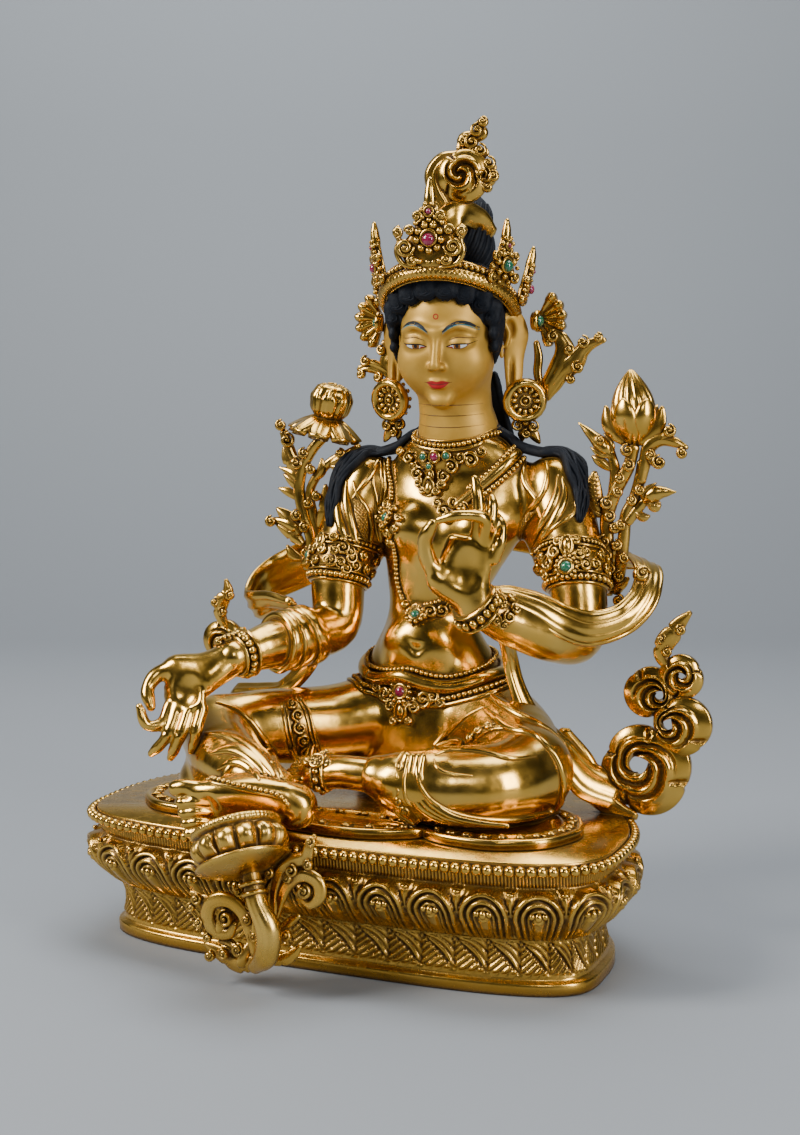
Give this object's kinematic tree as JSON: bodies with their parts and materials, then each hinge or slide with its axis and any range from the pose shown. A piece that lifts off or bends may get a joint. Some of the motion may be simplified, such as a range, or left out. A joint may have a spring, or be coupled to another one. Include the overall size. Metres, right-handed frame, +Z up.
{
  "type": "tara figure",
  "caption": "Gilt copper seated goddess in the pose of royal ease, on an oval lotus throne, with a small lotus under the lowered foot and a lotus spray at each shoulder.",
  "frame": {"origin": "centre of the throne's underside, on the plane that it stands on", "axes": "+Z up, -Y the way the goddess faces, +X towards her left"},
  "size_m": [0.2458, 0.1724, 0.3342],
  "materials": {
    "polished_gilding": "polished mercury gilding, amber in shade, brown-black in the recesses",
    "satin_gilding": "softer gilding with worn high points",
    "garnet": "polished dark red cabochon",
    "green_stone": "polished green cabochon",
    "cold_gold_paint": "matte cold gold paint on the face and neck",
    "hair_pigment": "matte blue-black pigment"
  },
  "bodies": {
    "root": {"lotus_throne": "polished_gilding", "figure": "polished_gilding", "crown": "polished_gilding", "foot_lotus": "satin_gilding", "lotus_bud_spray": "polished_gilding", "open_lotus_spray": "polished_gilding", "crown_front_garnet": "garnet", "crown_left_turquoise": "green_stone", "crown_right_garnet": "garnet", "crown_far_left_garnet": "garnet", "crown_far_right_turquoise": "green_stone", "rosette_left_turquoise": "green_stone", "rosette_right_turquoise": "green_stone", "necklace_garnet": "garnet", "armlet_left_turquoise": "green_stone", "armlet_right_turquoise": "green_stone", "girdle_garnet": "garnet", "chain_breast_turquoise": "green_stone", "chain_belly_turquoise": "green_stone"}
  },
  "joints": []
}
